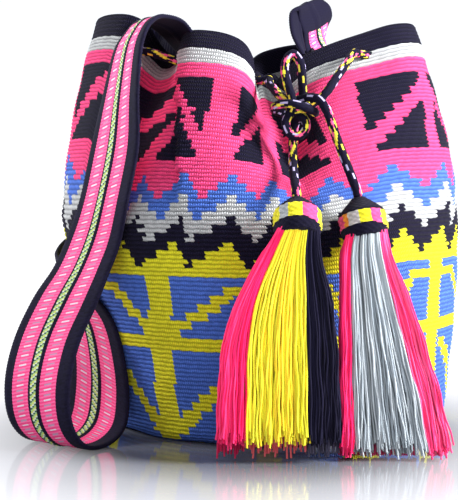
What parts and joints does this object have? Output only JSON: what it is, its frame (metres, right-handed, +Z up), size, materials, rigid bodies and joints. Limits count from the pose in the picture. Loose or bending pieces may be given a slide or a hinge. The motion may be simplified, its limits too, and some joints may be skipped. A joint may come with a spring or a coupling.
{
  "type": "crocheted mochila bag",
  "caption": "Round-based crocheted bucket bag with a gathered neck, a drawstring tied in a bow, tasselled cord ends and a woven shoulder strap.",
  "frame": {"origin": "middle of the round base, on the floor it stands on", "axes": "+Z up through the mouth; -Y is the side with the bow and the tassels; the strap's loop lies at -X"},
  "size_m": [0.3025, 0.317, 0.3089],
  "materials": {
    "crochet": "tight crochet in matt cotton yarn",
    "braided_cord": "round braid of many colours on navy",
    "woven_band": "thick warp-faced band",
    "tassel_head": "knitted cap",
    "thread_pink": "loose yarn",
    "thread_rose": "loose yarn",
    "thread_yellow": "loose yarn",
    "thread_navy": "loose yarn",
    "thread_silver": "loose yarn"
  },
  "bodies": {
    "root": {"bag_body": "crochet", "drawstring_neck": "braided_cord", "drawstring_left_end": "braided_cord", "drawstring_right_end": "braided_cord", "shoulder_strap": "woven_band", "tassel_head_left": "tassel_head", "tassel_head_right": "tassel_head", "fringe_left_pink": "thread_pink", "fringe_left_yellow": "thread_yellow", "fringe_left_navy": "thread_navy", "fringe_right_pink": "thread_pink", "fringe_right_silver": "thread_silver", "fringe_right_rose": "thread_rose"}
  },
  "joints": []
}
